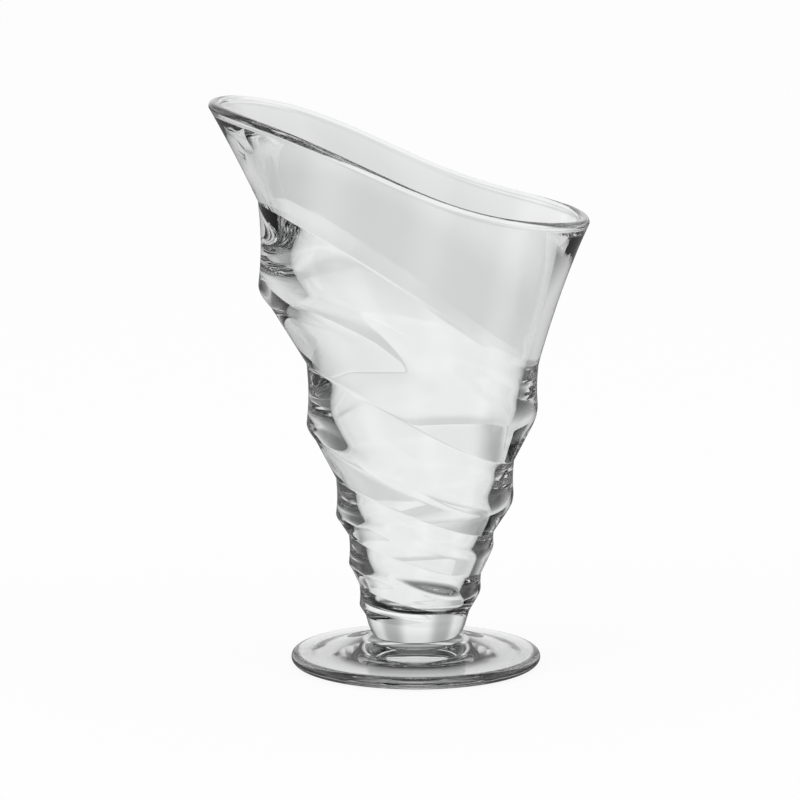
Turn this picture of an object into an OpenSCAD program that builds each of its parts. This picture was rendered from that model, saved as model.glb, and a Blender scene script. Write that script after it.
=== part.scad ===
// Pressed-glass parfait cup: a conical bowl wound with one stepped spiral, with an
// oblique wavy mouth and a solid stub, fused by a thin glass wafer to a round foot.
// Millimetres, +Z up. The origin is the centre of the foot's resting plane. The tall side
// of the mouth is at -X, and turn angles start there and run round by -Y.

/* [Foot] */
// Diameter of the foot
foot_d = 76; // [60:1:100]
// Thickness of the foot at its edge
foot_edge_h = 4; // [3:0.1:5]
// Rounding of the foot's edge
foot_edge_round = 1.8; // [0.8:0.1:2.2]
// Diameter of the flat seat on top of the foot
foot_seat_d = 32; // [26:0.5:40]
// Height of that seat above the table
foot_seat_h = 7.6; // [6:0.1:12]
// Outer diameter of the ring that rests on the table
bearing_d = 70; // [56:1:72]
// Width of the ring that rests on the table
bearing_w = 3; // [2:0.5:10]
// Depth of the hollow inside that ring
base_hollow = 2.4; // [0.4:0.1:2.8]
// Diameter of the small dimple in the middle of the underside
dimple_d = 18; // [10:1:26]
// Depth of that dimple
dimple_h = 1.6; // [0.5:0.1:2.4]

/* [Wafer] */
// Diameter of the wafer between bowl and foot
wafer_d = 29.6; // [24:0.2:32]
// Thickness of the wafer
wafer_h = 1.2; // [0.8:0.1:3]

/* [Bowl] */
// Diameter of the flat end of the bowl's stub
stub_end_d = 26; // [20:0.5:29]
// Radius of the spiral's cone at the stub's end
cone_r = 14; // [12:0.1:18]
// Growth of that radius with each millimetre of height
cone_slope = 0.251; // [0.2:0.001:0.3]
// Sideways bow of the bowl, towards its low side
bow = 2.2; // [0:0.1:4]
// Thickness of the glass at the spiral's creases
wall = 3.6; // [2.5:0.1:5]
// Share of the tallest ledge that the inside follows on the tall side
swell_share = 0.42; // [0:0.02:0.6]
// Height of the cavity's floor above the stub's end
floor_h = 9; // [7:0.5:20]
// Rounding of the cavity's floor
floor_round = 4.5; // [3:0.5:8]

/* [Spiral] */
// Height of the crease above each band on the tall side, from the top turn down
crease_tall = [133.3, 84.1, 48.8, 31.2, 15.7];
// The same heights on the low side
crease_low = [83.5, 54.4, 32.4, 19.4, 7.9];
// Share of each turn's height that its upright band takes, tall side
band_tall = [0.565, 0.57, 0.68, 0.6, 0.7];
// The same shares on the low side
band_low = [0.505, 0.565, 0.36, 0.46, 0.5];
// The same shares at the front
band_front = [0.43, 0.68, 0.5, 0.55, 0.6];
// Height at which the spiral runs out above the stub's end, tall side
end_tall = 6.4; // [4:0.1:8]
// The same height on the low side
end_low = 4.8; // [3:0.1:6]
// Hollow of each band, as a share of its height
band_hollow = 0.03; // [0:0.005:0.06]
// Share of each ledge that its undercut lip takes on the tall side
lip_share = 0.27; // [0.1:0.01:0.4]
// Share of the band over that lip that its rounding takes
lip_round = 0.1; // [0.05:0.01:0.3]
// Share of the band and of the slope that the ridge's rounding takes elsewhere
ridge_round = 0.25; // [0.1:0.01:0.45]

/* [Mouth] */
// Mean height of the rim above the stub's end
rim_h = 146; // [140:0.5:165]
// Rise of the rim on the tall side, and fall on the low side
rim_tilt = 17.4; // [8:0.2:22]
// Sag of the rim at the front and back
rim_sag = 4.3; // [0:0.1:7]
// Wave of the rim between its high and low ends
rim_wave = 4.8; // [0:0.1:7]
// Half length of the mouth, from tall side to low side
rim_a = 57; // [54:0.5:64]
// Half width of the mouth, from front to back
rim_b = 52; // [50:0.5:60]
// Shift of the mouth towards the tall side
rim_shift = 5; // [2:0.2:7]
// Squareness of the mouth: 2 is an ellipse
rim_power = 2.2; // [2:0.1:3]
// Thickness of the glass at the rim
rim_wall = 3.4; // [2.5:0.1:4.5]
// Height at which the plain flare starts on the low side
flare_low = 86; // [84:0.5:96]
// Mean spread of the flare, in millimetres for each millimetre of height
flare_slope = 0.385; // [0.3:0.005:0.45]
// Extra spread on the tall side, taken off on the low side
flare_swing = 0.095; // [0:0.005:0.15]

/* [Hidden] */
glass_clear = [0.87, 0.9, 0.9, 0.45];
glass_pale = [0.95, 0.96, 0.96, 0.6];

// Whole turns of the spiral's strip: a plain one above the first crease, and the run-out
turns = len(crease_tall) + 1;
columns = 48;
step = 360 / columns;
strip_columns = turns * columns;
band_rows = [0, 0.3, 0.65, 1];
ridge_rows = [0.25, 0.5, 0.75, 1];
slope_rows = [1/3, 2/3];
rows = len(band_rows) + len(ridge_rows) + len(slope_rows);
flare_rows = 5;
flare_power = 2.5;
stub_rows = 3;
stub_power = 3;
cavity_power = 4;
cavity_flare_rows = 8;
cavity_cone_rows = 8;
cavity_floor_rows = 4;
cavity_neck = crease_tall[1];
round_steps = 6;
foot_top_steps = 16;
hollow_steps = 24;

function smoother(s) = s*s*s*(s*(6*s - 15) + 10);
function clamp01(s) = max(0, min(1, s));
function mix(a, b, s) = a + (b - a)*s;
// Values at evenly spaced stations from the strip's start, joined by curves that are level at each
function by_station(values, spacing, turn) =
    let (h = (turn + 360)/spacing, k = min(floor(h), len(values) - 2))
    mix(values[k], values[k + 1], smoother(h - k));

crease_stations = concat(
    [crease_tall[0], flare_low],
    [for (i = [0 : len(crease_tall) - 1]) each [crease_tall[i], crease_low[i]]],
    [end_tall, end_low, end_tall]);
// Tall side, front, low side and back of each turn, with the first turn's shares for the plain one
band_stations = [for (i = [-1 : len(band_tall)])
    let (k = max(0, min(i, len(band_tall) - 1)))
    each [band_tall[k], band_front[k], band_low[k], band_low[k]]];

function at(r, turn, z) = [-r*cos(turn), -r*sin(turn), z];
// The bow shifts the bowl towards the low side, most at half the height of the top crease
function bow_r(z, turn) = -bow*sin(180*clamp01(z/crease_tall[0]))*cos(turn);
function cone(z, turn) = cone_r + cone_slope*z + bow_r(z, turn);
function crease_z(turn) = by_station(crease_stations, 180, turn);
function crease_r(turn) = cone(crease_z(turn), turn);
// The first ledge grows out of the plain flare over the back of the bowl, and the last one fades away
// over the front
last_ledge = 360*(turns - 2);
function ledge(turn) = smoother(clamp01(turn/180 + 1))*(1 - smoother(clamp01((turn - last_ledge)/180)));
function tall_side(turn) = pow(clamp01(cos(turn)), 2);

// One strip winds down the bowl. Each column runs from its crease to the next one below: an upright
// band, a rounded ridge that is undercut on the tall side, then a slope back to the cone.
function strip_point(turn, row) =
    let (zu = crease_z(turn), zn = crease_z(turn + 360))
    let (ru = crease_r(turn), rn = crease_r(turn + 360))
    let (band = by_station(band_stations, 90, turn)*(zu - zn), lip = lip_share*(ru - rn))
    let (under = tall_side(turn))
    let (nb = len(band_rows), nr = len(ridge_rows))
    let (b = (1 - mix(ridge_round, lip_round, under))*band_rows[min(row, nb - 1)])
    let (t = row < nb ? 0 : ridge_rows[min(row - nb, nr - 1)])
    let (s = row < nb + nr ? 0 : slope_rows[row - nb - nr])
    let (upright = [ru + band_hollow*band*(0.4*pow(b, 3) - sin(180*b)), zu - b*band])
    let (ridge = [ru + 0.4*band_hollow*band, zu - band], next = [rn, zn])
    let (past = mix(mix(ridge, next, ridge_round), ridge - [lip, lip], under))
    let (p = mix(mix(mix(upright, ridge, t), mix(ridge, past, t), t), next, s))
    let (r_plain = mix(rn, ru, (p[1] - zn)/(zu - zn)))
    at(mix(r_plain, p[0], ledge(turn)), turn, p[1]);

function rim_z(turn) =
    let (c = cos(turn), s2 = pow(sin(turn), 2))
    rim_h + rim_tilt*c - rim_sag*s2*s2 + rim_wave*c*s2;
function rim_r(turn) =
    let (a = pow(abs(cos(turn))/rim_a, rim_power), b = pow(abs(sin(turn))/rim_b, rim_power))
    rim_shift*cos(turn) + pow(a + b, -1/rim_power);
// A trumpet from one point of a profile up to another: a straight start, then a power curve
function trumpet(r0, z0, r1, z1, slope, power, s) =
    r0 + slope*(z1 - z0)*s + (r1 - r0 - slope*(z1 - z0))*pow(s, power);

// Outside of the flare, from the edge of the rim's rounding down to the first crease
function flare_point(turn, row) =
    let (z0 = crease_z(turn - 360), r0 = crease_r(turn - 360))
    let (z1 = rim_z(turn) - rim_wall/2, s = 1 - row/flare_rows)
    let (slope = flare_slope + flare_swing*cos(turn))
    at(trumpet(r0, z0, rim_r(turn), z1, slope, flare_power, s), turn, mix(z0, z1, s));
// Half-round top of the rim, from outside to inside
function rim_point(turn, row) =
    let (a = 180*(row + 1)/(round_steps), r = rim_wall/2)
    at(rim_r(turn) - r + r*cos(a), turn, rim_z(turn) - r + r*sin(a));
// Behind a tall ledge the inside swells out to the height of the ridge and back
function strip_swell(turn, z) =
    let (zu = crease_z(turn), drop = zu - crease_z(turn + 360))
    drop <= 0 ? 0
    : let (share = by_station(band_stations, 90, turn), u = clamp01((zu - z)/drop))
        let (stand = cone_slope*share*drop*drop/(crease_tall[0] - crease_tall[1]))
        let (shape = smoother(min(u/share, (1 - u)/(1 - share))))
        swell_share*stand*shape*ledge(turn)*tall_side(turn);
function swell(turn, z, k = 0) =
    k == turns ? 0 : strip_swell(turn + 360*(k - 1), z) + swell(turn, z, k + 1);
function inner_cone(z, turn) = cone(z, turn) - wall + swell(turn, z);
// The cavity is a cone inside the spiral's cone, with a trumpet mouth that follows the rim
function cavity_point(turn, row) =
    row < cavity_flare_rows ? let (s = 1 - (row + 1)/cavity_flare_rows)
        let (r0 = cone(cavity_neck, turn) - wall, z1 = rim_z(turn) - rim_wall/2)
        let (z = mix(cavity_neck, z1, s))
        let (r = trumpet(r0, cavity_neck, rim_r(turn) - rim_wall, z1, cone_slope, cavity_power, s))
        at(r + swell(turn, z), turn, z)
    : row < cavity_flare_rows + cavity_cone_rows ?
        let (s = (row - cavity_flare_rows + 1)/cavity_cone_rows)
        let (z = mix(cavity_neck, floor_h + floor_round, s))
        at(inner_cone(z, turn), turn, z)
    : let (a = 90*(row - cavity_flare_rows - cavity_cone_rows + 1)/cavity_floor_rows)
        let (z = floor_h + floor_round)
        at(inner_cone(z, turn) - floor_round*(1 - cos(a)), turn, z - floor_round*sin(a));
// The stub goes on along the cone from the end of the spiral and rounds in to its flat end
function stub_point(turn, row) =
    let (s = (row + 1)/stub_rows, z0 = crease_z(turn))
    at(trumpet(crease_r(turn), z0, stub_end_d/2, 0, cone_slope, stub_power, s), turn, z0*(1 - s));

function ring(i) = (i % columns + columns) % columns;
cavity_rows = cavity_flare_rows + cavity_cone_rows + cavity_floor_rows;
// Points are kept in blocks: strip, run-out crease, flare, rim, cavity, stub and floor centre
strip_0 = 0;
end_0 = strip_0 + (strip_columns - 1)*rows;
flare_0 = end_0 + columns;
rim_0 = flare_0 + flare_rows*columns;
cavity_0 = rim_0 + (round_steps - 1)*columns;
stub_0 = cavity_0 + cavity_rows*columns;
floor_0 = stub_0 + stub_rows*columns;
bowl_points = concat(
    [for (c = [1 : strip_columns - 1], m = [0 : rows - 1]) strip_point(c*step - 360, m)],
    [for (c = [0 : columns - 1]) at(crease_r((turns - 1)*360 + c*step), c*step,
                                    crease_z((turns - 1)*360 + c*step))],
    [for (r = [0 : flare_rows - 1], c = [0 : columns - 1]) flare_point(c*step, r)],
    [for (r = [0 : round_steps - 2], c = [0 : columns - 1]) rim_point(c*step, r)],
    [for (r = [-1 : cavity_rows - 2], c = [0 : columns - 1]) cavity_point(c*step, r)],
    [for (r = [0 : stub_rows - 1], c = [0 : columns - 1]) stub_point((turns - 1)*360 + c*step, r)],
    [[-bow_r(floor_h, 0), 0, floor_h]]);
// Index of a strip point. The strip starts and ends with no height, so those points are shared.
function strip_id(c, m) =
    m == rows ? strip_id(c + columns, 0)
    : c == 0 ? strip_id(columns, 0)
    : c < strip_columns ? strip_0 + (c - 1)*rows + m
    : end_0 + (m > 0 ? 0 : ring(c - strip_columns));
function block_id(first, r, c) = first + r*columns + ring(c);
function quad(a, b, c, d) = concat(
    a == b || b == c || c == a ? [] : [[a, b, c]],
    a == c || c == d || d == a ? [] : [[a, c, d]]);
// Closed rings of a block joined row by row
function block_faces(first, count) =
    [for (r = [0 : count - 2], c = [0 : columns - 1])
        each quad(block_id(first, r, c), block_id(first, r, c + 1),
                  block_id(first, r + 1, c + 1), block_id(first, r + 1, c))];
// Two rings of different blocks joined
function join_faces(upper, lower) =
    [for (c = [0 : columns - 1])
        let (d = ring(c + 1)) each quad(upper[c], upper[d], lower[d], lower[c])];
function row_ids(first, r) = [for (c = [0 : columns - 1]) block_id(first, r, c)];
strip_faces = [for (c = [0 : strip_columns - 1], m = [0 : rows - 1])
    each quad(strip_id(c, m), strip_id(c + 1, m), strip_id(c + 1, m + 1), strip_id(c, m + 1))];
first_crease = [for (c = [0 : columns - 1]) strip_id(c, 0)];
cavity_last = row_ids(cavity_0, cavity_rows - 1);
bowl_faces = concat(
    strip_faces,
    block_faces(flare_0, flare_rows),
    join_faces(row_ids(flare_0, flare_rows - 1), first_crease),
    [for (f = join_faces(row_ids(flare_0, 0), row_ids(rim_0, 0))) [f[2], f[1], f[0]]],
    [for (f = block_faces(rim_0, round_steps - 1)) [f[2], f[1], f[0]]],
    [for (f = join_faces(row_ids(rim_0, round_steps - 2), row_ids(cavity_0, 0))) [f[2], f[1], f[0]]],
    [for (f = block_faces(cavity_0, cavity_rows)) [f[2], f[1], f[0]]],
    [for (c = [0 : columns - 1]) [cavity_last[ring(c + 1)], cavity_last[c], floor_0]],
    join_faces(row_ids(end_0, 0), row_ids(stub_0, 0)),
    block_faces(stub_0, stub_rows),
    [row_ids(stub_0, stub_rows - 1)]);

wafer_z = foot_seat_h;
bowl_z = wafer_z + wafer_h;
module bowl() {
    color(glass_clear)
        translate([0, 0, bowl_z])
            polyhedron(bowl_points, bowl_faces);
}

// Thin disc with a half-round edge
module joint_wafer() {
    r = wafer_h/2;
    color(glass_pale)
        translate([0, 0, wafer_z])
            rotate_extrude($fn = 96)
                polygon(concat(
                    [[0, 0]],
                    [for (i = [0 : round_steps])
                        let (a = -90 + 180*i/round_steps) [wafer_d/2 - r + r*cos(a), r + r*sin(a)]],
                    [[0, wafer_h]]));
}

// Disc foot: a domed hollow underneath with a dimple in its middle, a flat bearing ring, a rounded
// edge, and a top that sweeps up to the seat under the wafer
module foot() {
    edge_r = foot_d/2;
    inner_r = bearing_d/2 - bearing_w;
    top_r = edge_r - foot_edge_round;
    color(glass_clear)
        rotate_extrude($fn = 96)
            polygon(concat(
                [for (i = [0 : hollow_steps])
                    let (s = i/hollow_steps, r = s*inner_r)
                    [r, base_hollow*(1 - s*s) + dimple_h*(1 + cos(180*clamp01(2*r/dimple_d)))/2]],
                [[bearing_d/2, 0]],
                [for (i = [1 : round_steps])
                    let (a = 90*i/round_steps)
                    [bearing_d/2 + (edge_r - bearing_d/2)*sin(a),
                     (foot_edge_h - foot_edge_round)*(1 - cos(a))]],
                [for (i = [1 : round_steps])
                    let (a = 90*i/round_steps)
                    [top_r + foot_edge_round*cos(a),
                     foot_edge_h - foot_edge_round + foot_edge_round*sin(a)]],
                [for (i = [1 : foot_top_steps])
                    let (s = i/foot_top_steps)
                    [mix(top_r, foot_seat_d/2, s), mix(foot_edge_h, foot_seat_h, s*s)]],
                [[0, foot_seat_h]]));
}

bowl();
joint_wafer();
foot();
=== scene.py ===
"""Looks of a pressed-glass parfait cup: spiral bowl, fused wafer and disc foot, on a plain pale stage."""
import math

import bpy
import numpy as np
from bpy.props import FloatProperty, FloatVectorProperty, IntProperty, PointerProperty
from bpy.types import Operator, Panel, PropertyGroup
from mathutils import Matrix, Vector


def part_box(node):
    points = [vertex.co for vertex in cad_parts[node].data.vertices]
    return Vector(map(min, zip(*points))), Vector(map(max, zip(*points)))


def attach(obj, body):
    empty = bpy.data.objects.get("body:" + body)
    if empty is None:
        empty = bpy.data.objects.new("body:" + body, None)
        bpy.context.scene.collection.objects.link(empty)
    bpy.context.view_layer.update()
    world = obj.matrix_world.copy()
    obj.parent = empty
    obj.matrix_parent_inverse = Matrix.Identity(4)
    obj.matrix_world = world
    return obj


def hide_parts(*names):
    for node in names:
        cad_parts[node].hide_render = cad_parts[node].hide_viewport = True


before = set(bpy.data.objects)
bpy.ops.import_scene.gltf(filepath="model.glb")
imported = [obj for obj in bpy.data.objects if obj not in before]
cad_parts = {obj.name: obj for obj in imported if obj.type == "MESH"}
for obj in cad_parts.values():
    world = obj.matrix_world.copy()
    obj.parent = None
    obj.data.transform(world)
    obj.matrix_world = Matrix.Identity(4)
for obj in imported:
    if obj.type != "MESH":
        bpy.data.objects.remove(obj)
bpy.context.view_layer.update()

bl_info = {
    "name": "Parfait cup",
    "version": (1, 0, 0),
    "blender": (4, 5, 0),
    "location": "View3D > Sidebar > Parfait",
    "description": "Makes a pressed-glass parfait cup with a stepped spiral bowl",
    "category": "Add Mesh",
}

MM = 0.001
BODY = "root"
BOWL_LOW, BOWL_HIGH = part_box("bowl")
WAFER_LOW, WAFER_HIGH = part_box("joint_wafer")
FOOT_LOW, FOOT_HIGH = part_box("foot")

# Finish of the glass: noise scales per metre, wave depths, and steps as start, end, first value, last value

BOWL_WAVES = (60, 0.08 * MM)
FOOT_WAVES = (80, 0.06 * MM)
STREAK_RANGE = (0.35, 0.7)
RUBBED = (0.1 * MM, 0.4 * MM, 1, 0)
SCUFF_SCALE = 900
SCUFF_RANGE = (0.4, 0.65)
SCUFF_LEAST = 0.05
POLISH_RANGE = (0.5, 0.8)
POLISH_SPREAD = 0.012
JOINT_GLOSS = 0.15

# Surroundings that the glass sees: steps of the table's brightness by distance from the cup's axis, a painted
# shadow and painted light, of the sky's by height, and of its sides by cosines of four and eight times the
# compass angle

# Painted shadow: the table, as the glass shows it, is painted dark close under the foot
PAINTED_SHADOW_UNDER_FOOT = (0.01, 0.04, 0, 1)
# Painted falloff of light: the table, as the glass shows it, is painted duller far from the cup
PAINTED_FALLOFF = (0.3, 1.1, 1, 0.76)
# Painted shade: light reflected inside the glass sees the table painted dark near the cup
PAINTED_SHADE_NEAR_CUP = (0.05, 0.5, 0, 0.75)
# Painted dark reflection: reflections on the outside of the glass see the table nearly black
PAINTED_DARK_REFLECTION = 0.1
GLOW_SHARE = 0.9
HAZE = (-0.1, 0.35, 1, 0.76)
CEILING = (0.45, 0.9, 1, 0)
FOUR_SIDES = (-0.1, 1, 0, 1)
EIGHT_SIDES = (-1, 0.6, 0.55, 1)


def length(name, description, default):
    """A length property in metres."""
    return FloatProperty(name=name, description=description, default=default, unit="LENGTH", precision=5)


class ParfaitBowl(PropertyGroup):
    """Sizes of the bowl, its spiral and its mouth."""

    base_z: length("Stub end", "Height of the flat end of the stub", BOWL_LOW.z)
    stub_end_r: length("Stub end radius", "Radius of the flat end of the stub", 13 * MM)
    cone_r: length("Cone radius", "Radius of the spiral's cone at the stub's end", 14 * MM)
    cone_slope: FloatProperty(
        name="Cone slope", description="Growth of the cone's radius with height", default=0.251)
    bow: length("Bow", "Sideways bow of the bowl towards its low side", 2.2 * MM)
    wall: length("Wall", "Thickness of the glass at the creases", 3.6 * MM)
    swell_share: FloatProperty(
        name="Swell", description="Share of the tallest ledge that the inside follows on the tall side",
        default=0.42)
    floor_h: length("Floor height", "Height of the cavity's floor above the stub's end", 9 * MM)
    floor_round: length("Floor rounding", "Rounding of the cavity's floor", 4.5 * MM)
    crease_tall: FloatVectorProperty(
        name="Creases, tall side", description="Crease heights above the stub's end, from the top turn down",
        size=5, unit="LENGTH", default=[h * MM for h in (133.3, 84.1, 48.8, 31.2, 15.7)])
    crease_low: FloatVectorProperty(
        name="Creases, low side", description="Crease heights on the low side, from the top turn down",
        size=5, unit="LENGTH", default=[h * MM for h in (83.5, 54.4, 32.4, 19.4, 7.9)])
    end_tall: length("Run-out, tall side", "Height at which the spiral runs out", 6.4 * MM)
    end_low: length("Run-out, low side", "Height at which the spiral runs out", 4.8 * MM)
    band_tall: FloatVectorProperty(
        name="Bands, tall side", description="Share of each turn that its upright band takes",
        size=5, default=(0.565, 0.57, 0.68, 0.6, 0.7))
    band_front: FloatVectorProperty(
        name="Bands, front", description="Share of each turn that its upright band takes",
        size=5, default=(0.43, 0.68, 0.5, 0.55, 0.6))
    band_low: FloatVectorProperty(
        name="Bands, low side", description="Share of each turn that its upright band takes",
        size=5, default=(0.505, 0.565, 0.36, 0.46, 0.5))
    band_hollow: FloatProperty(
        name="Band hollow", description="Hollow of a band, as a share of its height", default=0.03)
    lip_share: FloatProperty(
        name="Lip", description="Share of each ledge that its undercut lip takes on the tall side",
        default=0.27)
    lip_round: FloatProperty(
        name="Lip rounding", description="Share of the band over that lip that its rounding takes",
        default=0.1)
    ridge_round: FloatProperty(
        name="Ridge rounding", default=0.25,
        description="Share of the band and of the slope that the ridge's rounding takes")
    rim_h: length("Rim height", "Mean height of the rim above the stub's end", 146 * MM)
    rim_tilt: length("Rim tilt", "Rise of the rim on the tall side, and fall on the low side", 17.4 * MM)
    rim_sag: length("Rim sag", "Sag of the rim at the front and back", 4.3 * MM)
    rim_wave: length("Rim wave", "Wave of the rim between its high and low ends", 4.8 * MM)
    rim_a: length("Mouth half length", "From tall side to low side", (BOWL_HIGH.x - BOWL_LOW.x) / 2)
    rim_b: length("Mouth half width", "From front to back", 52 * MM)
    rim_shift: length("Mouth shift", "Towards the tall side", -(BOWL_HIGH.x + BOWL_LOW.x) / 2)
    rim_power: FloatProperty(name="Mouth squareness", description="2 is an ellipse", default=2.2)
    rim_wall: length("Rim wall", "Thickness of the glass at the rim", 3.4 * MM)
    flare_low: length("Flare start", "Height at which the plain flare starts on the low side", 86 * MM)
    flare_slope: FloatProperty(name="Flare slope", description="Mean spread of the flare", default=0.385)
    flare_swing: FloatProperty(name="Flare swing", description="Extra spread on the tall side", default=0.095)
    columns: IntProperty(name="Columns", description="Columns of the mesh in one turn", default=240)
    ease: IntProperty(
        name="Easing", description="Passes that ease the creases and lips along each profile", default=1)


class ParfaitFoot(PropertyGroup):
    """Sizes of the foot and of the wafer that joins it to the bowl."""

    foot_r: length("Foot radius", "Outer radius of the foot", FOOT_HIGH.x)
    edge_h: length("Edge height", "Thickness of the foot at its edge", 4 * MM)
    edge_round: length("Edge rounding", "Rounding of the foot's edge", 1.8 * MM)
    seat_r: length("Seat radius", "Radius of the flat seat on top of the foot", 16 * MM)
    seat_h: length("Seat height", "Height of that seat", FOOT_HIGH.z)
    bearing_r: length("Bearing radius", "Outer radius of the ring that rests on the table", 35 * MM)
    bearing_w: length("Bearing width", "Width of that ring", 3 * MM)
    hollow: length("Hollow", "Depth of the hollow inside that ring", 2.4 * MM)
    dimple_r: length("Dimple radius", "Radius of the dimple under the middle", 9 * MM)
    dimple_h: length("Dimple depth", "Depth of that dimple", 1.6 * MM)
    wafer_r: length("Wafer radius", "Outer radius of the wafer", WAFER_HIGH.x)
    wafer_low: length("Wafer underside", "Height of the wafer's underside", WAFER_LOW.z)
    wafer_high: length("Wafer top", "Height of the wafer's top", WAFER_HIGH.z)
    columns: IntProperty(name="Columns", description="Columns of the mesh round the axis", default=360)


class ParfaitLook(PropertyGroup):
    """Glass and stage."""

    glass_tint: FloatVectorProperty(
        name="Glass tint", description="Colour of the clear glass", subtype="COLOR", size=3,
        default=(0.985, 0.99, 0.99))
    streak_tint: FloatVectorProperty(
        name="Streak tint", description="Colour of the glass in its faint streaks", subtype="COLOR", size=3,
        default=(0.97, 0.98, 0.98))
    scuff: FloatProperty(name="Scuffs", description="Roughness of the scuffs under the foot", default=0.3)
    glass_ior: FloatProperty(name="Glass index", description="Refractive index of the glass", default=1.5)
    floor_colour: FloatVectorProperty(
        name="Floor", description="Colour of the floor", subtype="COLOR", size=3, default=(0.97, 0.97, 0.97))


SETTINGS = {"parfait_bowl": ParfaitBowl, "parfait_foot": ParfaitFoot, "parfait_look": ParfaitLook}


# Small formulas

def smoother(s):
    """A step from 0 to 1 that is level, with no curvature, at both ends: 6 s^5 - 15 s^4 + 10 s^3."""
    return s ** 3 * (s * (6 * s - 15) + 10)


def mix(a, b, s):
    """A point the share s of the way from a to b."""
    return a + (b - a) * s


def by_station(values, spacing, turn):
    """Values at stations spaced evenly from the strip's start, joined by smoother steps."""
    values = np.asarray(values)
    spot = (turn + 360) / spacing
    k = np.clip(np.floor(spot).astype(int), 0, len(values) - 2)
    return mix(values[k], values[k + 1], smoother(spot - k))


def clustered(count):
    """Shares from 0 to 1 that crowd towards both ends, as half a cosine wave does."""
    return (1 - np.cos(np.pi * np.arange(count + 1) / count)) / 2


def place(r, turn, z):
    """Points at a radius, a turn angle in degrees and a height. Angles start at the tall side, -X, and run
    by -Y."""
    a = np.radians(turn)
    return np.stack([-r * np.cos(a), -r * np.sin(a), z + 0 * r], axis=-1)


def trumpet(r0, r1, rise, slope, power, s):
    """Radius along a flare: a straight start at the given slope, plus a power curve that brings it to r1."""
    return r0 + slope * rise * s + (r1 - r0 - slope * rise) * s ** power


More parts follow.
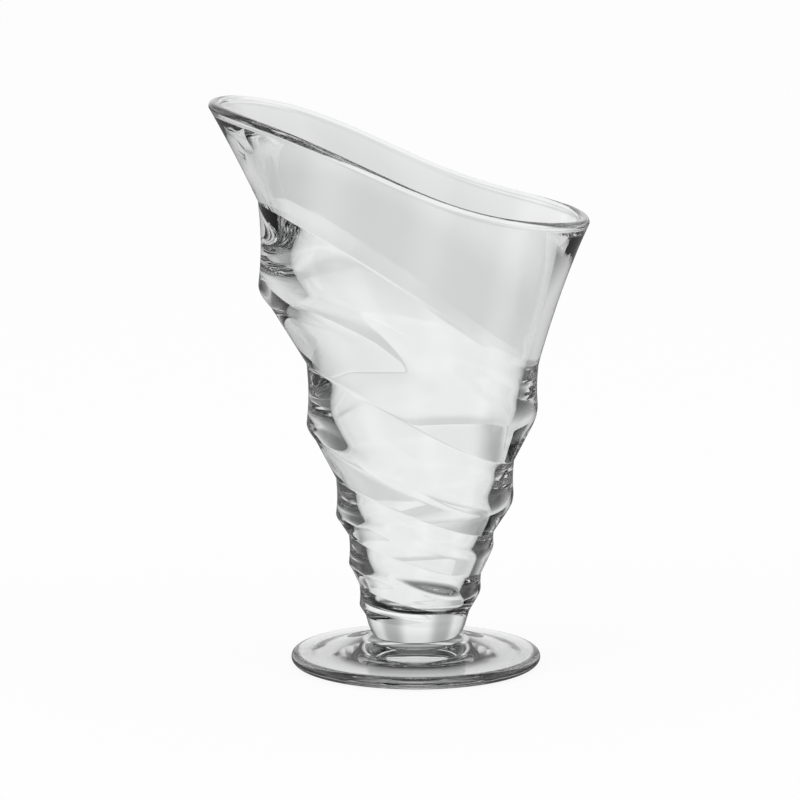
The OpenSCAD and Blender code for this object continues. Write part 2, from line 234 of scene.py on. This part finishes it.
class Spiral:
    """The bowl's formulas, in metres above the stub's end, as functions of the turn angle in degrees."""

    ROWS_BAND, ROWS_LIP, ROWS_SLOPE = 12, 8, 12
    FLARE_POWER, MOUTH_POWER, STUB_POWER, RIM_POWER = 2.5, 4, 3, 0.85
    RIDGE_STAND = 0.4
    TINY = 1e-9

    def __init__(self, p):
        self.p = p
        tall, low = list(p.crease_tall), list(p.crease_low)
        pairs = [h for pair in zip(tall, low) for h in pair]
        self.creases = [tall[0], p.flare_low] + pairs + [p.end_tall, p.end_low, p.end_tall]
        order = [0] + list(range(len(tall))) + [len(tall) - 1]
        self.bands = [share for k in order
                      for share in (p.band_tall[k], p.band_front[k], p.band_low[k], p.band_low[k])]
        self.turns = len(tall) + 1

    def cone(self, z, turn):
        """A cone whose middle bows sideways by half a sine wave up to the top crease."""
        p = self.p
        lean = np.sin(np.pi * np.clip(z / p.crease_tall[0], 0, 1))
        return p.cone_r + p.cone_slope * z - p.bow * lean * np.cos(np.radians(turn))

    def crease_z(self, turn):
        """Height of the crease, level at the tall and low sides and falling between them."""
        return by_station(self.creases, 180, turn)

    def crease_r(self, turn):
        """The crease lies on the cone."""
        return self.cone(self.crease_z(turn), turn)

    def ledge(self, turn):
        """The first ledge grows out of the flare over the back, and the last fades away over the front."""
        last = 360 * (self.turns - 2)
        return smoother(np.clip(turn / 180 + 1, 0, 1)) * (1 - smoother(np.clip((turn - last) / 180, 0, 1)))

    def strip(self, turn):
        """Radii and heights of one strip: from each crease an upright band, hollowed by a sine wave, a ridge
        rounded by a parabola and undercut on the tall side, then a straight slope to the crease below."""
        p = self.p
        zu, zn = self.crease_z(turn)[:, None], self.crease_z(turn + 360)[:, None]
        ru, rn = self.crease_r(turn)[:, None], self.crease_r(turn + 360)[:, None]
        band = by_station(self.bands, 90, turn)[:, None] * (zu - zn)
        lip = p.lip_share * (ru - rn)
        under = np.clip(np.cos(np.radians(turn)), 0, 1)[:, None] ** 2
        b = (1 - mix(p.ridge_round, p.lip_round, under)) * clustered(self.ROWS_BAND)[None, :]
        band_r = ru + p.band_hollow * band * (self.RIDGE_STAND * b ** 3 - np.sin(np.pi * b))
        band_z = zu - b * band
        ridge_r, ridge_z = ru + self.RIDGE_STAND * p.band_hollow * band, zu - band
        end_r = mix(mix(ridge_r, rn, p.ridge_round), ridge_r - lip, under)
        end_z = mix(mix(ridge_z, zn, p.ridge_round), ridge_z - lip, under)
        t = np.arange(1, self.ROWS_LIP + 1)[None, :] / self.ROWS_LIP
        lip_r = mix(mix(band_r[:, -1:], ridge_r, t), mix(ridge_r, end_r, t), t)
        lip_z = mix(mix(band_z[:, -1:], ridge_z, t), mix(ridge_z, end_z, t), t)
        s = clustered(self.ROWS_SLOPE)[None, 1:]
        slope_r, slope_z = mix(end_r, rn, s), mix(end_z, zn, s)
        r = np.concatenate([band_r, lip_r, slope_r], axis=1)
        z = np.concatenate([band_z, lip_z, slope_z], axis=1)
        plain = mix(rn, ru, (z - zn) / np.maximum(zu - zn, self.TINY))
        return mix(plain, r, self.ledge(turn)[:, None]), z

    def rim_z(self, turn):
        """A tilted rim with a fourth-power sag at front and back and a wave between its high and low ends."""
        p, c = self.p, np.cos(np.radians(turn))
        s2 = 1 - c * c
        return p.rim_h + p.rim_tilt * c - p.rim_sag * s2 * s2 + p.rim_wave * c * s2

    def rim_r(self, turn):
        """The mouth's plan: a superellipse shifted towards the tall side."""
        p, a = self.p, np.radians(turn)
        n = p.rim_power
        oval = (np.abs(np.cos(a) / p.rim_a) ** n + np.abs(np.sin(a) / p.rim_b) ** n) ** (-1 / n)
        return p.rim_shift * np.cos(a) + oval

    def flare(self, turn, rows):
        """Outside of the mouth: a trumpet from the first crease up to the rim's rounding, listed from the rim
        down."""
        p, t = self.p, turn[:, None]
        s = clustered(rows)[None, ::-1]
        z0, r0 = self.crease_z(t - 360), self.crease_r(t - 360)
        z1 = self.rim_z(t) - p.rim_wall / 2
        slope = p.flare_slope + p.flare_swing * np.cos(np.radians(t))
        r = trumpet(r0, self.rim_r(t), z1 - z0, slope, self.FLARE_POWER, s)
        return r[:, :-1], mix(z0, z1, s)[:, :-1]

    def rim(self, turn, rows):
        """Top of the rim from the outside to the inside: half a squarish oval, whose cosine and sine are
        raised to a power below one."""
        p, t = self.p, turn[:, None]
        a = np.pi * np.arange(1, rows)[None, :] / rows
        half = p.rim_wall / 2
        across = np.sign(np.cos(a)) * np.abs(np.cos(a)) ** self.RIM_POWER
        up = np.sin(a) ** self.RIM_POWER
        return self.rim_r(t) - half + half * across, self.rim_z(t) - half + half * up

    def swell(self, turn, z):
        """How far the inside swells out behind the bands of the tall side: in each strip a smoother step out
        to the ridge and back, as a share of the ridge's stand above the cone."""
        p, out = self.p, 0
        for k in range(self.turns):
            angle = turn + 360 * (k - 1)
            zu, zn = self.crease_z(angle), self.crease_z(angle + 360)
            share = by_station(self.bands, 90, angle)
            u = np.clip((zu - z) / np.maximum(zu - zn, self.TINY), 0, 1)
            shape = smoother(np.minimum(u / share, (1 - u) / (1 - share)))
            grown = self.ledge(angle) * np.clip(np.cos(np.radians(angle)), 0, 1) ** 2
            stand = p.cone_slope * share * (zu - zn) ** 2 / (p.crease_tall[0] - p.crease_tall[1])
            out = out + p.swell_share * stand * shape * grown
        return out

    def cavity(self, turn, mouth_rows, cone_rows, floor_rows):
        """Inside of the bowl: a trumpet mouth that follows the rim, a cone inside the creases' cone, and a
        quarter-round floor edge, all swelling behind the bands, listed from the rim down."""
        p, t = self.p, turn[:, None]
        neck = p.crease_tall[1]
        s = 1 - np.arange(mouth_rows)[None, :] / mouth_rows
        z1 = self.rim_z(t) - p.rim_wall / 2
        neck_r = self.cone(neck, t) - p.wall
        mouth_r = trumpet(neck_r, self.rim_r(t) - p.rim_wall, z1 - neck, p.cone_slope, self.MOUTH_POWER, s)
        low = p.floor_h + p.floor_round
        cone_z = mix(neck, low, np.arange(cone_rows)[None, :] / cone_rows) + 0 * t
        a = np.radians(90) * np.arange(floor_rows + 1)[None, :] / floor_rows
        floor_r = self.cone(low, t) - p.wall - p.floor_round * (1 - np.cos(a))
        floor_z = low - p.floor_round * np.sin(a) + 0 * t
        mouth_z = mix(neck, z1, s)
        mouth_r = mouth_r + self.swell(t, mouth_z)
        cone_r = self.cone(cone_z, t) - p.wall + self.swell(t, cone_z)
        floor_r = floor_r + self.swell(t, low)
        return (np.concatenate([mouth_r, cone_r, floor_r], axis=1),
                np.concatenate([mouth_z, cone_z, floor_z], axis=1))

    def stub(self, turn, rows):
        """The stub goes on along the cone from the run-out crease and rounds in, by a power curve."""
        p, t = self.p, turn[:, None]
        s = np.arange(1, rows + 1)[None, :] / rows
        z = self.crease_z(t)
        r = trumpet(self.crease_r(t), p.stub_end_r, -z, p.cone_slope, self.STUB_POWER, s)
        return r, z * (1 - s)


# Mesh helpers

def quads_of(ids):
    """Quads of a grid of vertex numbers, outward where columns run anticlockwise and rows run down."""
    return np.stack([ids[:-1, :-1], ids[:-1, 1:], ids[1:, 1:], ids[1:, :-1]], axis=-1).reshape(-1, 4)


def faces_of(quads):
    """Plain quads, and triangles where two neighbouring corners of a quad are one vertex."""
    same = quads == np.roll(quads, -1, axis=1)
    whole = quads[~same.any(axis=1)]
    folded = quads[same.sum(axis=1) == 1]
    kept = ~(folded == np.roll(folded, -1, axis=1))
    return whole.tolist() + folded[kept].reshape(-1, 3).tolist()


def ease_profiles(r, z, passes):
    """Rounds each profile's corners: every pass takes a quarter of each neighbour and half of the point."""
    for _ in range(passes):
        for values in (r, z):
            values[:, 1:-1] = 0.25 * values[:, :-2] + 0.5 * values[:, 1:-1] + 0.25 * values[:, 2:]


def add_piece(name, points, faces, materials, face_material):
    """A mesh object at the origin, shaded smooth, on the cup's body."""
    mesh = bpy.data.meshes.new(name)
    mesh.from_pydata(points, [], faces)
    for material in materials:
        mesh.materials.append(material)
    mesh.polygons.foreach_set("use_smooth", np.ones(len(mesh.polygons), dtype=bool))
    mesh.polygons.foreach_set("material_index", np.asarray(face_material, dtype=np.int32))
    mesh.update()
    piece = bpy.data.objects.new(name, mesh)
    bpy.context.scene.collection.objects.link(piece)
    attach(piece, BODY)
    return piece


def turned(name, r, z, columns, glass, seat, seat_rows):
    """A closed solid of revolution: the profile runs outwards under the piece and back over its top, from
    axis to axis. The rows whose number is in seat_rows are seats, which are fused to the next piece."""
    angle = 2 * np.pi * np.arange(columns)[:, None] / columns
    ring_r, ring_z = r[None, 1:-1], z[1:-1]
    rings = np.stack([ring_r * np.cos(angle), ring_r * np.sin(angle), ring_z + 0 * angle], axis=-1)
    count = len(ring_z)
    points = np.concatenate([rings.reshape(-1, 3), [[0, 0, z[0]], [0, 0, z[-1]]]])
    ids = np.arange(columns * count).reshape(columns, count)
    ids = np.concatenate([ids, ids[:1]])
    low, high = columns * count, columns * count + 1
    ids = np.concatenate([np.full((columns + 1, 1), low), ids, np.full((columns + 1, 1), high)], axis=1)
    quads = quads_of(ids)[:, ::-1]
    row = np.tile(np.arange(ids.shape[1] - 1), columns)
    same = (quads == np.roll(quads, -1, axis=1)).any(axis=1)
    row = np.concatenate([row[~same], row[same]])
    return add_piece(name, points.tolist(), faces_of(quads), [glass, seat], np.isin(row, seat_rows))


# Materials

class Graph:
    """Short ways to add number nodes to a node tree."""

    def __init__(self, nodes, links):
        self.nodes, self.links = nodes, links

    def math(self, operation, *values):
        """A Math node; each value is a number or another node's output."""
        node = self.nodes.new("ShaderNodeMath")
        node.operation = operation
        for socket, value in zip(node.inputs, values):
            if isinstance(value, (int, float)):
                socket.default_value = value
            else:
                self.links.new(value, socket)
        return node.outputs[0]

    def mix(self, a, b, share):
        """A number the share of the way from a to b."""
        kept = self.math("MULTIPLY", self.math("SUBTRACT", 1, share), a)
        return self.math("ADD", kept, self.math("MULTIPLY", share, b))

    def step(self, value, start, end, low, high):
        """A smooth step from low, where the value is start, to high, where it is end."""
        node = self.nodes.new("ShaderNodeMapRange")
        node.interpolation_type = "SMOOTHSTEP"
        for name, number in (("From Min", start), ("From Max", end), ("To Min", low), ("To Max", high)):
            node.inputs[name].default_value = number
        self.links.new(value, node.inputs["Value"])
        return node.outputs["Result"]


def new_material(name):
    """An empty node material, with its nodes and links."""
    material = bpy.data.materials.new(name)
    material.use_nodes = True
    material.node_tree.nodes.clear()
    return material, material.node_tree.nodes, material.node_tree.links


def clear_glass(name, look, waves, gloss=0.0):
    """Fire-polished pressed glass: clear, with the faint slow waves that a mould leaves, streaks of a
    slightly deeper tint, and a gloss that is scuffed only where the glass rubs on a table."""
    wave_scale, wave_depth = waves
    material, nodes, links = new_material(name)
    graph = Graph(nodes, links)
    output = nodes.new("ShaderNodeOutputMaterial")
    shader = nodes.new("ShaderNodeBsdfPrincipled")
    shader.inputs["IOR"].default_value = look.glass_ior
    shader.inputs["Transmission Weight"].default_value = 1
    where = nodes.new("ShaderNodeTexCoord").outputs["Object"]

    def noise(scale, detail):
        """Soft noise fixed to the piece."""
        texture = nodes.new("ShaderNodeTexNoise")
        texture.inputs["Scale"].default_value = scale
        texture.inputs["Detail"].default_value = detail
        links.new(where, texture.inputs["Vector"])
        return texture.outputs["Fac"]

    tint = nodes.new("ShaderNodeValToRGB")
    colours = (look.glass_tint, look.streak_tint)
    for stop, position, colour in zip(tint.color_ramp.elements, STREAK_RANGE, colours):
        stop.position = position
        stop.color = (*colour, 1)
    links.new(noise(wave_scale / 2, 2), tint.inputs["Fac"])
    links.new(tint.outputs["Color"], shader.inputs["Base Color"])

    split = nodes.new("ShaderNodeSeparateXYZ")
    links.new(where, split.inputs[0])
    rubbed = graph.step(split.outputs["Z"], *RUBBED)
    marks = graph.step(noise(SCUFF_SCALE, 3), *SCUFF_RANGE, SCUFF_LEAST, look.scuff)
    polish = graph.step(noise(wave_scale, 2), *POLISH_RANGE, gloss, gloss + POLISH_SPREAD)
    roughness = graph.math("MAXIMUM", graph.math("MULTIPLY", rubbed, marks), polish)
    links.new(roughness, shader.inputs["Roughness"])

    bump = nodes.new("ShaderNodeBump")
    bump.inputs["Strength"].default_value = 1
    bump.inputs["Distance"].default_value = wave_depth
    links.new(noise(wave_scale, 1), bump.inputs["Height"])
    links.new(bump.outputs["Normal"], shader.inputs["Normal"])
    links.new(shader.outputs["BSDF"], output.inputs["Surface"])
    return material


def fused_seat():
    """Seat faces where two pieces are fused, so light passes straight through."""
    material, nodes, links = new_material("fused_seat")
    output = nodes.new("ShaderNodeOutputMaterial")
    shader = nodes.new("ShaderNodeBsdfTransparent")
    links.new(shader.outputs["BSDF"], output.inputs["Surface"])
    return material


def pale_floor(look):
    """A matt white table. The camera sees it as the white backdrop, with the cup's shadow. Light bent by the
    glass sees it with a painted shadow close under the foot and a painted falloff of light far off, light
    reflected inside the glass sees painted shade near the cup, and reflections on the outside of the glass
    see it painted nearly black, a painted dark reflection."""
    material, nodes, links = new_material("pale_floor")
    graph = Graph(nodes, links)
    output = nodes.new("ShaderNodeOutputMaterial")
    matt = nodes.new("ShaderNodeBsdfDiffuse")
    matt.inputs["Color"].default_value = (*look.floor_colour, 1)
    glow = nodes.new("ShaderNodeEmission")
    both = nodes.new("ShaderNodeMixShader")
    path = nodes.new("ShaderNodeLightPath").outputs
    where = nodes.new("ShaderNodeTexCoord")
    away = nodes.new("ShaderNodeVectorMath")
    away.operation = "LENGTH"
    links.new(where.outputs["Object"], away.inputs[0])
    distance = away.outputs["Value"]
    # Painted shadow under the foot and painted falloff of light far off, for light that the glass bends
    painted_foot_shadow, painted_falloff = graph.step(distance, *PAINTED_SHADOW_UNDER_FOOT), graph.step(distance, *PAINTED_FALLOFF)
    table = graph.math("MULTIPLY", painted_foot_shadow, painted_falloff)
    entered = graph.math("MINIMUM", path["Transmission Depth"], 1)
    mirrored = graph.math("MULTIPLY", path["Is Glossy Ray"], graph.math("SUBTRACT", 1, entered))
    returned = graph.math("MULTIPLY", entered, graph.math("MINIMUM", path["Glossy Depth"], 1))
    # Painted shade near the cup, for light reflected inside the glass
    table = graph.mix(table, graph.step(distance, *PAINTED_SHADE_NEAR_CUP), returned)
    # Painted dark reflection of the table on the outside of the glass
    table = graph.mix(table, PAINTED_DARK_REFLECTION, mirrored)
    links.new(graph.mix(table, 1, path["Is Camera Ray"]), glow.inputs["Strength"])
    bent = graph.math("MAXIMUM", path["Is Glossy Ray"], path["Is Transmission Ray"])
    share = graph.math("MULTIPLY", graph.math("MAXIMUM", path["Is Camera Ray"], bent), GLOW_SHARE)
    links.new(share, both.inputs["Fac"])
    links.new(matt.outputs["BSDF"], both.inputs[1])
    links.new(glow.outputs["Emission"], both.inputs[2])
    links.new(both.outputs["Shader"], output.inputs["Surface"])
    return material


def shared_material(name, make):
    """The material of that name, made the first time that it is asked for."""
    return bpy.data.materials.get(name) or make()


def seat_material():
    """The one material of all fused seats."""
    return shared_material("fused_seat", fused_seat)


# Operators

class PARFAIT_OT_bowl(Operator):
    """Makes the spiral bowl with its solid stub"""

    bl_idname = "parfait.bowl"
    bl_label = "Make the bowl"

    FLARE_ROWS, RIM_ROWS, STUB_ROWS = 24, 24, 14
    MOUTH_ROWS, CONE_ROWS, FLOOR_ROWS = 60, 90, 10

    def execute(self, context):
        p = context.scene.parfait_bowl
        look = context.scene.parfait_look
        spiral, n = Spiral(p), p.columns
        around = 360 * np.arange(n) / n
        rows = spiral.ROWS_BAND + spiral.ROWS_LIP + spiral.ROWS_SLOPE
        strips = [spiral.strip(around + 360 * (k - 1)) for k in range(spiral.turns)]
        last = around + 360 * (spiral.turns - 1)
        parts = [spiral.flare(around, self.FLARE_ROWS)] + [(r[:, :-1], z[:, :-1]) for r, z in strips]
        parts.append((spiral.crease_r(last)[:, None], spiral.crease_z(last)[:, None]))
        parts.append(spiral.stub(last, self.STUB_ROWS))
        r = np.concatenate([part[0] for part in parts], axis=1)
        z = np.concatenate([part[1] for part in parts], axis=1)
        ease_profiles(r, z, p.ease)
        outside = self.outside_ids(n, rows, spiral.turns)
        rim_r, rim_z = spiral.rim(around, self.RIM_ROWS)
        cavity_r, cavity_z = spiral.cavity(around, self.MOUTH_ROWS, self.CONE_ROWS, self.FLOOR_ROWS)
        inner_r = np.concatenate([rim_r, cavity_r], axis=1)
        inner_z = np.concatenate([rim_z, cavity_z], axis=1)
        points, faces, kinds = self.join(r, z, inner_r, inner_z, around, outside, spiral)
        points[:, 2] += p.base_z
        glass = shared_material("bowl_glass", lambda: clear_glass("bowl_glass", look, BOWL_WAVES))
        piece = add_piece("spiral_bowl", points.tolist(), faces, [glass, seat_material()], kinds)
        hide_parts("bowl")
        return {"FINISHED"}

    def outside_ids(self, n, rows, turns):
        """Vertex numbers of the outside, one profile per column and one more for the closing column. The
        spiral gains one strip in a turn, so the closing column is the first one shifted by a strip."""
        first, total = self.FLARE_ROWS, self.FLARE_ROWS + rows * turns + 1 + self.STUB_ROWS
        ids = np.arange(n * total).reshape(n, total)
        ids[0, first:first + rows] = ids[0, first + rows]
        closing = ids[0].copy()
        closing[first:first + rows * (turns - 1)] = ids[0, first + rows:first + rows * turns]
        closing[first + rows * (turns - 1):first + rows * turns] = ids[0, first + rows * turns]
        return np.concatenate([ids, closing[None]])

    def join(self, r, z, inner_r, inner_z, around, outside, spiral):
        """Joins outside, rim and cavity into one closed surface, with the stub's flat end as a fan."""
        n = len(around)
        points = np.concatenate([
            place(r, around[:, None], z).reshape(-1, 3),
            place(inner_r, around[:, None], inner_z).reshape(-1, 3)])
        count = inner_r.shape[1]
        inner = len(r.ravel()) + np.arange(n * count).reshape(n, count)
        inner = np.concatenate([outside[:-1, :1], inner], axis=1)
        inner = np.concatenate([inner, inner[:1]])
        floor, floor_h = len(points), spiral.p.floor_h
        sides = np.array([0.0, 180.0])
        lean = place(spiral.cone(floor_h, sides), sides, 0.0)
        points = np.concatenate([points, [[lean[:, 0].mean(), 0, floor_h], [0, 0, 0]]])
        inner = np.concatenate([inner, np.full((n + 1, 1), floor)], axis=1)
        end = np.stack([outside[:, -1], np.full(n + 1, floor + 1)], axis=1)
        faces = faces_of(quads_of(outside)) + faces_of(quads_of(inner)[:, ::-1])
        glass_faces = len(faces)
        faces += faces_of(quads_of(end))
        return points, faces, np.arange(len(faces)) >= glass_faces


class PARFAIT_OT_foot(Operator):
    """Makes the disc foot and the wafer that fuses it to the bowl"""

    bl_idname = "parfait.foot"
    bl_label = "Make the foot and wafer"

    HOLLOW_POINTS, ROUND_POINTS, TOP_POINTS, WAFER_POINTS = 80, 12, 40, 16

    def execute(self, context):
        p, look = context.scene.parfait_foot, context.scene.parfait_look
        glass = shared_material("foot_glass", lambda: clear_glass("foot_glass", look, FOOT_WAVES))
        stub_r = context.scene.parfait_bowl.stub_end_r
        foot = self.foot(p, glass)
        pale = shared_material(
            "joint_glass", lambda: clear_glass("joint_glass", look, FOOT_WAVES, JOINT_GLOSS))
        wafer = self.wafer(p, stub_r, pale)
        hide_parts("foot")
        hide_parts("joint_wafer")
        return {"FINISHED"}

    def foot(self, p, glass):
        """The foot's profile: a parabolic hollow with a cosine dimple in it, a flat bearing ring, a rounded
        edge, then a top that rises with the square of the way to the seat."""
        inner = p.bearing_r - p.bearing_w
        s = np.linspace(0, 1, self.HOLLOW_POINTS)
        bump = np.cos(np.pi * np.clip(s * inner / p.dimple_r, 0, 1))
        dimple = s * inner, p.hollow * (1 - s * s) + p.dimple_h * (1 + bump) / 2
        ring = (np.array([p.bearing_r]), np.array([0]))
        a = np.radians(90) * np.linspace(0, 1, self.ROUND_POINTS)[1:]
        under = (mix(p.bearing_r, p.foot_r, np.sin(a)), (p.edge_h - p.edge_round) * (1 - np.cos(a)))
        top_r = p.foot_r - p.edge_round
        over = (top_r + p.edge_round * np.cos(a), p.edge_h - p.edge_round + p.edge_round * np.sin(a))
        s = np.linspace(0, 1, self.TOP_POINTS)[1:]
        top = (mix(top_r, p.seat_r, s), mix(p.edge_h, p.seat_h, s * s))
        fused = p.wafer_r - (p.wafer_high - p.wafer_low) / 2
        seat = (np.array([fused, 0]), np.array([p.seat_h, p.seat_h]))
        r, z = (np.concatenate(values) for values in zip(dimple, ring, under, over, top, seat))
        return turned("disc_foot", r, z, p.columns, glass, seat_material(), [len(r) - 2])

    def wafer(self, p, stub_r, glass):
        """A thin disc with a half-round edge."""
        half = (p.wafer_high - p.wafer_low) / 2
        a = np.linspace(-np.pi / 2, np.pi / 2, self.WAFER_POINTS)
        edge_r = p.wafer_r - half + half * np.cos(a)
        edge_z = p.wafer_low + half + half * np.sin(a)
        r = np.concatenate([[0], edge_r, [stub_r, 0]])
        z = np.concatenate([[p.wafer_low], edge_z, [p.wafer_high, p.wafer_high]])
        return turned("joint_disc", r, z, p.columns, glass, seat_material(), [0, len(r) - 2])


class PARFAIT_OT_stage(Operator):
    """Makes the floor, the lights, the surroundings and the camera"""

    bl_idname = "parfait.stage"
    bl_label = "Make the stage"

    CAMERA_AT = (-4.84 * MM, -1208 * MM, 281.8 * MM)
    CAMERA_PITCH = math.radians(9.424)
    CAMERA_LENS, CAMERA_SENSOR = 182.2, 36
    FLOOR_R, FLOOR_SIDES = 8.0, 96
    PLAIN_LEVEL = 0.8
    BOUNCES = 32
    LAMP_SIZE = 0.9
    LAMPS = (("key_lamp", (-0.9, -0.6, 1.4), 4), ("fill_lamp", (1.0, -0.4, 1.2), 2))

    def execute(self, context):
        self.floor(context)
        self.world(context)
        self.lights()
        self.camera(context)
        context.scene.view_settings.view_transform = "Standard"
        for kind in ("max_bounces", "transmission_bounces", "glossy_bounces"):
            setattr(context.scene.cycles, kind, self.BOUNCES)
        return {"FINISHED"}

    def floor(self, context):
        """A wide flat disc."""
        count = self.FLOOR_SIDES
        a = 2 * np.pi * np.arange(count) / count
        ring = np.stack([self.FLOOR_R * np.cos(a), self.FLOOR_R * np.sin(a), 0 * a], axis=-1)
        mesh = bpy.data.meshes.new("floor")
        mesh.from_pydata(ring.tolist(), [], [list(range(count))])
        mesh.materials.append(pale_floor(context.scene.parfait_look))
        floor = bpy.data.objects.new("floor", mesh)
        context.scene.collection.objects.link(floor)

    def world(self, context):
        """White all round for the camera. For glass it is dark above, hazy at middle height and dimmer
        between eight sides, and light reflected inside the glass also meets darkness between four sides."""
        world = bpy.data.worlds.new("studio")
        context.scene.world = world
        world.use_nodes = True
        nodes, links = world.node_tree.nodes, world.node_tree.links
        nodes.clear()
        output = nodes.new("ShaderNodeOutputWorld")
        background = nodes.new("ShaderNodeBackground")
        background.inputs["Color"].default_value = (1, 1, 1, 1)
        where = nodes.new("ShaderNodeTexCoord")
        split = nodes.new("ShaderNodeSeparateXYZ")
        links.new(where.outputs["Generated"], split.inputs[0])
        graph = Graph(nodes, links)
        path = nodes.new("ShaderNodeLightPath").outputs
        height = split.outputs["Z"]
        azimuth = graph.math("ARCTAN2", split.outputs["X"], split.outputs["Y"])
        four_sides = graph.math("COSINE", graph.math("MULTIPLY", azimuth, 4))
        eight_sides = graph.math("COSINE", graph.math("MULTIPLY", azimuth, 8))
        sky = graph.math("MULTIPLY", graph.step(height, *HAZE), graph.step(height, *CEILING))
        mirrored = graph.math("MINIMUM", path["Glossy Depth"], 1)
        entered = graph.math("MINIMUM", path["Transmission Depth"], 1)
        through = graph.step(eight_sides, *EIGHT_SIDES)
        inside = graph.math("MINIMUM", through, graph.step(four_sides, *FOUR_SIDES))
        returned = graph.mix(through, inside, entered)
        glass = graph.math("MULTIPLY", sky, graph.mix(through, returned, mirrored))
        bent = graph.math("MAXIMUM", path["Is Glossy Ray"], path["Is Transmission Ray"])
        strength = graph.math("MAXIMUM", graph.mix(self.PLAIN_LEVEL, glass, bent), path["Is Camera Ray"])
        links.new(strength, background.inputs["Strength"])
        links.new(background.outputs["Background"], output.inputs["Surface"])

    def lights(self):
        """Two large soft lamps, above left and above right, which don't show in the glass."""
        for name, at, power in self.LAMPS:
            lamp = bpy.data.lights.new(name, "AREA")
            lamp.shape = "DISK"
            lamp.size = self.LAMP_SIZE
            lamp.energy = power
            holder = bpy.data.objects.new(name, lamp)
            holder.location = at
            aim = -holder.location
            holder.rotation_euler = aim.to_track_quat("-Z", "Y").to_euler()
            holder.visible_glossy = False
            holder.visible_transmission = False
            bpy.context.scene.collection.objects.link(holder)

    def camera(self, context):
        """The photograph's view: a long lens, a little above the cup, looking slightly down."""
        data = bpy.data.cameras.new("camera")
        data.sensor_width = self.CAMERA_SENSOR
        data.lens = self.CAMERA_LENS
        camera = bpy.data.objects.new("camera", data)
        camera.location = self.CAMERA_AT
        camera.rotation_euler = (math.radians(90) - self.CAMERA_PITCH, 0, 0)
        context.scene.collection.objects.link(camera)
        context.scene.camera = camera


class PARFAIT_PT_panel(Panel):
    """Lists the cup's sizes and the buttons that make it"""

    bl_idname = "PARFAIT_PT_panel"
    bl_label = "Parfait cup"
    bl_space_type = "VIEW_3D"
    bl_region_type = "UI"
    bl_category = "Parfait"

    def draw(self, context):
        for operator in OPERATORS:
            self.layout.operator(operator.bl_idname)
        for name, group in SETTINGS.items():
            box = self.layout.box()
            for prop in group.__annotations__:
                box.prop(getattr(context.scene, name), prop)


OPERATORS = (PARFAIT_OT_bowl, PARFAIT_OT_foot, PARFAIT_OT_stage)
CLASSES = (*SETTINGS.values(), *OPERATORS, PARFAIT_PT_panel)


def register():
    """Registers the classes and hangs the settings on the scene."""
    for cls in CLASSES:
        bpy.utils.register_class(cls)
    for name, group in SETTINGS.items():
        setattr(bpy.types.Scene, name, PointerProperty(type=group))


def unregister():
    """Takes the settings off the scene and unregisters the classes."""
    for name in SETTINGS:
        delattr(bpy.types.Scene, name)
    for cls in reversed(CLASSES):
        bpy.utils.unregister_class(cls)


def main():
    """Makes the cup and its stage."""
    register()
    bpy.ops.parfait.bowl()
    bpy.ops.parfait.foot()
    bpy.ops.parfait.stage()


if __name__ == "__main__":
    main()
